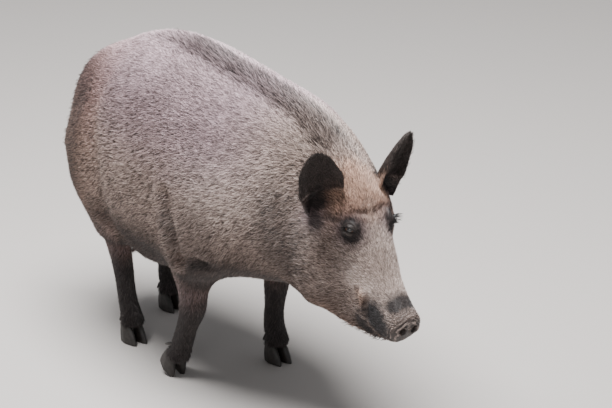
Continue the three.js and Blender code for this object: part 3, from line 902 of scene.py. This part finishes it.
def shadingAndMarkingsGroup():
    tree = bpy.data.node_groups.new("shadingAndMarkings", "ShaderNodeTree")
    for name in ("Tone", "Tip", "Dark", "Warm", "Pale", "Cool"):
        tree.interface.new_socket(name, in_out="INPUT", socket_type="NodeSocketFloat")
    tree.interface.new_socket("Color", in_out="OUTPUT", socket_type="NodeSocketColor")
    source = addNode(tree, "NodeGroupInput").outputs
    bristles, crest, black = (ramp(tree, colours[k], source["Tone"]) for k in ("bristles", "crest", "black"))
    # pale hair, with the painted highlight along the top of the back
    colour = mixColour(tree, source["Pale"], bristles, crest)
    browned = mixColour(tree, 1.0, colour, colours["brown"], "MULTIPLY")
    colour = mixColour(tree, source["Warm"], colour, browned)
    # painted sky light: the violet tint where the Cool input says
    skyTinted = mixColour(tree, 1.0, colour, colours["violet"], "MULTIPLY")
    colour = mixColour(tree, source["Cool"], colour, skyTinted)
    # dark hair and skin, with the painted shade among the dark marks
    colour = mixColour(tree, source["Dark"], colour, black)
    shade = maths(tree, "MULTIPLY_ADD", source["Tip"], 0.75, 0.45)  # darker at the root
    addNode(tree, "NodeGroupOutput", {"Color": vectorMaths(tree, "SCALE", {0: colour, "Scale": shade})})
    return tree


shadingAndMarkings = shadingAndMarkingsGroup()


def newMaterial(name, inputs):
    material = bpy.data.materials.new(name)
    material.use_nodes = True
    tree = material.node_tree
    shader = tree.nodes["Principled BSDF"]
    feed(tree, shader, inputs)
    return material, tree, shader


def placeShadingAndMarkings(tree, tone, tip):
    inputs = {name: attribute(tree, name.lower()) for name in ("Dark", "Warm", "Pale", "Cool")}
    inputs.update(Tone=tone, Tip=tip)
    return addNode(tree, "ShaderNodeGroup", inputs, node_tree=shadingAndMarkings).outputs["Color"]


def noise(tree, scale, detail, roughness=0.5):
    where = addNode(tree, "ShaderNodeTexCoord").outputs["Object"]
    inputs = {"Scale": scale, "Detail": detail, "Roughness": roughness, "Vector": where}
    return addNode(tree, "ShaderNodeTexNoise", inputs).outputs["Fac"]


def bump(tree, height, distance, strength):
    inputs = {"Strength": strength, "Distance": distance, "Height": height}
    return addNode(tree, "ShaderNodeBump", inputs).outputs[0]


def coatMaterial():
    material, tree, shader = newMaterial("coatBristles", {"Roughness": 0.52, "Specular IOR Level": 0.4})
    tone = maths(tree, "MULTIPLY_ADD", attribute(tree, "mottle"), coat["mottling"], attribute(tree, "tone"))
    feed(tree, shader, {"Base Color": placeShadingAndMarkings(tree, tone, attribute(tree, "tip"))})
    return material


def skinMaterial():
    # dull under the coat, damp and wrinkled where it is bare
    material, tree, shader = newMaterial("skinUnderCoat", {"Specular IOR Level": 0.35})
    grain = noise(tree, 420, 3, 0.6)
    coarse = noise(tree, 130, 3, 0.55)
    covered = placeShadingAndMarkings(tree, maths(tree, "MULTIPLY", grain, 0.9), 0.25)
    mud = maths(tree, "MULTIPLY_ADD", attribute(tree, "mud"), 0.55, maths(tree, "MULTIPLY", coarse, 0.6))
    bare = attribute(tree, "bare")
    feed(tree, shader, {
        "Base Color": mixColour(tree, bare, covered, ramp(tree, colours["bareSkin"], mud)),
        "Roughness": maths(tree, "MULTIPLY_ADD", bare, -0.12, 0.62),
        "Normal": bump(tree, maths(tree, "ADD", grain, coarse), 0.0012, 0.7),
    })
    return material


coatLook = coatMaterial()
skin.data.materials.clear()
skin.data.materials.append(skinMaterial())

# coat

def spike(name, sections, sides=3):
    # a tapered bristle along +X: sections are (place, half width, height), the last one is the tip
    points, tips = [], []
    for place, wide, rise in sections[:-1]:
        for i in range(sides):
            turn = i / sides * 2 * math.pi + math.pi / 2
            points.append((place, math.cos(turn) * wide, rise + math.sin(turn) * wide * 0.6))
            tips.append(max(place, 0))
    points.append((sections[-1][0], 0, sections[-1][2]))
    tips.append(1)
    faces = [tuple(range(sides))]
    for r in range(len(sections) - 2):
        for i in range(sides):
            a, b = r * sides + i, r * sides + (i + 1) % sides
            faces.append((a, a + sides, b + sides, b))
    last = (len(sections) - 2) * sides
    for i in range(sides):
        faces.append((last + i, len(points) - 1, last + (i + 1) % sides))
    mesh = outward(meshFrom(name, points, faces))
    keep(mesh, "tip", tips)
    spots = pointsOf(mesh)[listOf(mesh.loops, "vertex_index")]
    spots = np.stack([spots[:, 1] + 0.5, spots[:, 0], spots[:, 0] * 0], 1)
    keep(mesh, "tuftPlace", spots, "FLOAT_VECTOR", "CORNER")
    return mesh


def coatTree():
    tree = bpy.data.node_groups.new("coat", "GeometryNodeTree")
    kinds = {"Geometry": "Geometry", "Tuft": "Object", "Patch": "Int", "Crowd": "Float", "Lift": "Float",
             "Stray": "Float", "Seed": "Int", "Look": "Material"}
    for name, kind in kinds.items():
        tree.interface.new_socket(name, in_out="INPUT", socket_type="NodeSocket" + kind)
    tree.interface.new_socket("Geometry", in_out="OUTPUT", socket_type="NodeSocketGeometry")
    source = addNode(tree, "NodeGroupInput").outputs

    def named(name, kind="FLOAT"):
        node = addNode(tree, "GeometryNodeInputNamedAttribute", {"Name": name}, data_type=kind)
        return node.outputs["Attribute"]

    def chance(low, high, shift, kind="FLOAT"):
        first = 0 if kind == "FLOAT_VECTOR" else 2
        inputs = {first: low, first + 1: high, "Seed": maths(tree, "ADD", source["Seed"], shift)}
        return addNode(tree, "FunctionNodeRandomValue", inputs, data_type=kind).outputs[first // 2]

    # roots on the faces of this patch
    same = addNode(tree, "FunctionNodeCompare", {2: named("patch", "INT"), 3: source["Patch"]},
                   data_type="INT", operation="EQUAL")
    inputs = {"Mesh": source["Geometry"], "Selection": same.outputs[0], "Seed": source["Seed"],
              "Density": maths(tree, "MULTIPLY", named("crowd"), source["Crowd"])}
    spread = addNode(tree, "GeometryNodeDistributePointsOnFaces", inputs, distribute_method="RANDOM")

    # each tuft's turn and size
    away = chance((-1, -1, -1), (1, 1, 1), 1, "FLOAT_VECTOR")
    stray = vectorMaths(tree, "SCALE", {0: away, "Scale": source["Stray"]})
    lie = vectorMaths(tree, "ADD", {0: named("lie", "FLOAT_VECTOR"), 1: stray})
    turned = addNode(tree, "FunctionNodeAxesToRotation", {0: spread.outputs["Normal"], 1: lie},
                     primary_axis="Z", secondary_axis="X")
    lift = maths(tree, "MULTIPLY", source["Lift"], chance(-1.5, -0.5, 2))
    bend = addNode(tree, "ShaderNodeCombineXYZ", {"Y": lift})
    lifted = addNode(tree, "FunctionNodeRotateRotation", {0: turned.outputs[0], 1: bend.outputs[0]},
                     rotation_space="LOCAL")
    long = maths(tree, "MULTIPLY", named("hairLength"), chance(0.65, 1.3, 3))
    wide = maths(tree, "MULTIPLY", named("hairWidth"), chance(0.7, 1.2, 4))
    size = addNode(tree, "ShaderNodeCombineXYZ", {"X": long, "Y": wide, "Z": wide})

    # the tufts, each with a tone of its own
    tuft = addNode(tree, "GeometryNodeObjectInfo", {"Object": source["Tuft"]})
    inputs = {"Points": spread.outputs["Points"], "Instance": tuft.outputs["Geometry"],
              "Rotation": lifted.outputs[0], "Scale": size.outputs[0]}
    dotted = addNode(tree, "GeometryNodeInstanceOnPoints", inputs)
    inputs = {"Name": "tone", "Geometry": dotted.outputs[0], "Value": chance(0.0, 1.0, 5)}
    toned = addNode(tree, "GeometryNodeStoreNamedAttribute", inputs, data_type="FLOAT", domain="INSTANCE")
    real = addNode(tree, "GeometryNodeRealizeInstances", {0: toned.outputs[0]})

    # their map: where the root lies on the body, and a little of the tuft's own shape
    small = vectorMaths(tree, "SCALE", {0: named("tuftPlace", "FLOAT_VECTOR"), "Scale": coat["tuftOnMap"]})
    spot = vectorMaths(tree, "ADD", {0: named("rootPlace", "FLOAT_VECTOR"), 1: small})
    inputs = {"Name": "OFBake", "Geometry": real.outputs[0], "Value": spot}
    mapped = addNode(tree, "GeometryNodeStoreNamedAttribute", inputs, data_type="FLOAT2", domain="CORNER")
    inputs = {"Geometry": mapped.outputs[0], "Material": source["Look"]}
    finish = addNode(tree, "GeometryNodeSetMaterial", inputs)
    addNode(tree, "NodeGroupOutput", {"Geometry": finish.outputs[0]})
    return tree


growingLayers = ("lie", "hairLength", "hairWidth", "crowd", "patch", "rootPlace")


def dropLayers(mesh, *names):
    for name in names:
        if name in mesh.attributes:
            mesh.attributes.remove(mesh.attributes[name])


def grow(name, ground, tree, **inputs):
    # tufts of one patch as a plain mesh of their own
    piece = placed(name, ground.data.copy())
    nodes = piece.modifiers.new("coat", "NODES")
    nodes.node_group = tree
    for socket in tree.interface.items_tree:
        if socket.in_out == "INPUT" and socket.name in inputs:
            nodes[socket.identifier] = inputs[socket.name]
    settled(piece)
    dropLayers(piece.data, *growingLayers, "tuftPlace")
    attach(piece, "root")
    print(name, len(piece.data.polygons))
    return piece


tree = coatTree()
shortTuft = placed("shortTuft", spike("shortTuft", [(-0.08, 0.5, -0.4), (1, 0, 0)]))
bowed = [(-0.04, 0.5, -0.4), (0.35, 0.42, 0.9), (0.7, 0.25, 0.8), (1, 0, -0.6)]
longTuft = placed("longTuft", spike("longTuft", bowed))
patchParts = ("Rump", "Flank", "Shoulder", "Head")
patchNames = [f"coat{part}{side}" for part in patchParts for side in ("Right", "Left")]
patchNames += ["coatLegs", "coatEars"]
for number, name in enumerate(patchNames):
    grow(name, skin, tree, Tuft=shortTuft, Patch=number, Crowd=coat["perSquareMetre"] * fineness,
         Lift=coat["lift"], Stray=coat["stray"], Seed=11 + number, Look=coatLook)

# longer hair: the mane, the tail's tassel, the fringes of ears, chin, elbows and coronets

longHair = {
    "width": 0.0016,
    "stray": 0.3,
    "mane": {"perSquareMetre": 60000, "length": 0.03, "lift": 0.34},
    "tail": {"perSquareMetre": 70000, "length": 0.05, "lift": 0.16},
    "fringe": {"perSquareMetre": 45000, "length": 0.02, "lift": 0.45},
}


def growLong(name, kind, mask, length, dark=None):
    # longer hair, from a copy of the skin, where the mask says
    mesh = skin.data.copy()
    keep(mesh, "crowd", mask)
    keep(mesh, "hairLength", length)
    keep(mesh, "hairWidth", np.full(len(length), longHair["width"]))
    keep(mesh, "patch", np.zeros(len(mesh.polygons)), "INT", "FACE")
    if dark is not None:
        keep(mesh, "dark", dark)
    ground = placed("hairGround", mesh)
    values = longHair[kind]
    grow(name, ground, tree, Tuft=longTuft, Patch=0, Crowd=values["perSquareMetre"] * fineness,
         Lift=values["lift"], Stray=longHair["stray"], Seed=71, Look=coatLook)
    bpy.data.objects.remove(ground)


p, n = pointsOf(skin.data), normalsOf(skin.data)
q = folded(p)
x, y, z = p.T
mane = maneMask(p)
growLong("coatMane", "mane", mane, longHair["mane"]["length"] * (0.5 + 0.5 * mane))
tassel = tailMask(p) * smooth(z, 0.5, 0.3)
growLong("coatTail", "tail", tassel + 0.4 * tailMask(p), longHair["tail"]["length"] * (0.25 + 0.75 * tassel))
elbow = bell(lineDistance(q, [(0.03, 0.195, 0.4), (0.03, 0.185, 0.33)]), 0.022)
chin = bell(lineDistance(q, [(0.53, 0.015, 0.272), (0.44, 0.03, 0.275)]), 0.022)
chin *= smooth(-n[:, 2], -0.2, 0.4)
heel = legMask(p) * smooth(z, 0.085, 0.06) * smooth(z, 0.03, 0.045)
ruff = bell(lineDistance(q, [(0.36, 0.13, 0.45), (0.385, 0.1, 0.37)]), 0.03)
edge = np.zeros(len(p))
for side in (-1, 1):
    across = earAxes(side)[2]
    edge = np.maximum(edge, earMask(p) * smooth(np.abs(n @ across), 0.7, 0.95) * (y * side > 0))
rear = smooth(-n[:, 0], 0.25, 0.75) * smooth(x, -0.38, -0.46) * smooth(z, 0.22, 0.34) * (1 - tailMask(p))
fringe = np.max([0.55 * rear, 0.8 * elbow, 0.7 * chin, 0.8 * heel, 0.4 * ruff, 0.9 * edge], axis=0)
reach = 0.4 + 0.7 * elbow + 0.5 * chin + 0.4 * ruff + 0.6 * rear + 0.3 * edge
reach = longHair["fringe"]["length"] * np.clip(reach, 0, 1.2)
growLong("coatFringe", "fringe", fringe, reach, darkColourAndShade(p, n) * (1 - 0.45 * edge))
bpy.data.objects.remove(shortTuft)
bpy.data.objects.remove(longTuft)

flesh = [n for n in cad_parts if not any(word in n for word in ("eye", "claw"))]
dropLayers(skin.data, *growingLayers)
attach(skin, "root")
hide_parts(*flesh)

# horn and eyes

def hornMaterial():
    material, tree, shader = newMaterial("hoofHorn", {"Roughness": 0.5})
    colour = ramp(tree, [(0.3, (0.01, 0.008, 0.007)), (0.7, (0.03, 0.024, 0.021))], noise(tree, 160, 4))
    feed(tree, shader, {"Base Color": colour, "Normal": bump(tree, noise(tree, 500, 3), 0.0006, 0.6)})
    return material


eyes = {
    "iris": (0.16, 0.052, 0.014),
    "ring": (0.03, 0.012, 0.006),
    "white": (0.2, 0.15, 0.14),
    "lashes": 44,
    "lashLength": 0.018,
}


def eyeMaterial():
    looks = {"Roughness": 0.06, "Specular IOR Level": 0.9, "Coat Weight": 1.0, "Coat Roughness": 0.03}
    material, tree, shader = newMaterial("eyeball", looks)
    stops = [(0, (0.002, 0.002, 0.002)), (0.24, (0.002, 0.002, 0.002)), (0.28, eyes["iris"]),
             (0.5, eyes["iris"]), (0.6, eyes["ring"]), (0.68, eyes["white"])]
    feed(tree, shader, {"Base Color": ramp(tree, stops, attribute(tree, "gaze"))})
    return material


def eyeball(side, look):
    # a smooth ball; "gaze" counts the angle away from where it looks, 1 at a quarter turn
    mesh = ball(5, anatomy["eyeRadius"])
    points = pointsOf(mesh)
    facing, forward = eyeAxes(side)[:2]
    angle = np.arccos(np.clip(unit(points) @ unit(facing + 0.12 * forward), -1, 1)) / (math.pi / 2)
    keep(mesh, "gaze", angle)
    movePoints(mesh, points + toSide(anatomy["eye"], side))
    mesh.shade_smooth()
    mesh.materials.append(look)
    name = "eyeLeft" if side > 0 else "eyeRight"
    piece = placed(name, mesh)
    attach(piece, "root")
    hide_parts("eye_left" if side > 0 else "eye_right")


def lashMeshes(side):
    # long dark lashes along the upper lid, a few short ones along the lower
    made = []
    facing, forward, up = eyeAxes(side)
    chance = np.random.default_rng(5 + side)
    upper = (eyes["lashes"], lids["upper"], eyes["lashLength"], 0.35, 0.3)
    lower = (eyes["lashes"] // 3, -lids["lower"], eyes["lashLength"] / 2, -0.5, 0.1)
    for count, lid, most, rise, droop in (upper, lower):
        for t in (np.arange(count) + 0.5) / count * 2 - 1:
            along, high = t * lids["halfLength"] * 0.98, lid * (1 - t * t)
            out = math.sqrt((anatomy["eyeRadius"] + 0.0012) ** 2 - along**2 - high**2)
            root = fromFrame(anatomy["eye"], eyeAxes, side, out, along, high)
            length = most * (1 - 0.3 * t * t) * (0.75 + 0.5 * chance.random())
            aim = unit(facing + forward * (0.75 * t + 0.2 * chance.normal()) + up * rise)
            steps = np.linspace(-0.1, 1, 5)[:, None] * length
            line = root + aim * steps - up * droop * steps**2 / length
            made.append(tube("lash", line, [0.0006, 0.0006, 0.0005, 0.00034, 0.00006], 4))
    return made


eyeLook = eyeMaterial()
for side in (-1, 1):
    eyeball(side, eyeLook)
lashes = placed("eyelashes", joined("eyelashes", lashMeshes(-1) + lashMeshes(1)))
looks = {"Roughness": 0.4, "Base Color": (0.006, 0.005, 0.005, 1)}
lashes.data.materials.append(newMaterial("lash", looks)[0])
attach(lashes, "root")
print("eyes done")

# claws

claws = {
    "voxel": 0.0016,
    "rounds": 7,
    "dewclaw": 0.58,  # how much of a dewclaw's length shows
}


def clawMesh(name):
    # a claw with soft edges, as large as its node; a dewclaw is drawn toward the leg
    piece = placed("claw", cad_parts[name].data.copy())
    before = pointsOf(piece.data)
    modified(piece, "REMESH", mode="VOXEL", voxel_size=claws["voxel"])
    relax(piece, np.ones(len(piece.data.vertices)), claws["rounds"])
    points = pointsOf(piece.data)
    low, high = points.min(0), points.max(0)
    points = before.min(0) + (points - low) / (high - low) * (before.max(0) - before.min(0))
    if "dewclaw" in name:
        reach = np.min([lineDistance(points, line) for line in anatomy["legs"].values()], axis=0)
        root = points[np.argmin(reach)]
        points = root + (points - root) * claws["dewclaw"]
    movePoints(piece.data, points)
    mesh = piece.data
    bpy.data.objects.remove(piece)
    return mesh


clawNames = [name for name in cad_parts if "claw" in name]
hoofs = placed("claws", joined("claws", [clawMesh(name) for name in clawNames]))
hoofs.data.materials.clear()
hoofs.data.materials.append(hornMaterial())
hoofs.data.shade_smooth()
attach(hoofs, "root")
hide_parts(*clawNames)
print("claws done")

# studio

studio = {
    "floor": (0.5, 0.47, 0.45),
    "sky": (0.95, 0.97, 1.0, 1),
    "skyStrength": 0.34,
    "aim": (0, 0, 0.4),  # where the lights point
    "lights": {
        # place, width and power
        "topLight": ((0.05, -0.45, 3.6), 2.6, 420),
        "fillLight": ((3.5, -4.0, 2.2), 2.0, 30),
    },
}


def addFloor():
    mesh = meshFrom("floor", [(-20, -20, 0), (20, -20, 0), (20, 20, 0), (-20, 20, 0)], [(0, 1, 2, 3)])
    looks = {"Roughness": 0.8, "Base Color": (*studio["floor"], 1)}
    mesh.materials.append(newMaterial("paleFloor", looks)[0])
    placed("floor", mesh)


def addLight(name, place, size, power):
    data = bpy.data.lights.new(name, "AREA")
    data.shape = "DISK"
    data.size = size
    data.energy = power
    piece = placed(name, data)
    piece.location = place
    piece.rotation_euler = (Vector(studio["aim"]) - Vector(place)).to_track_quat("-Z", "Y").to_euler()


addFloor()
world = bpy.data.worlds.new("studio")
world.use_nodes = True
sky = world.node_tree.nodes["Background"]
sky.inputs["Color"].default_value = studio["sky"]
sky.inputs["Strength"].default_value = studio["skyStrength"]
bpy.context.scene.world = world
for name, values in studio["lights"].items():
    addLight(name, *values)

print("finished")
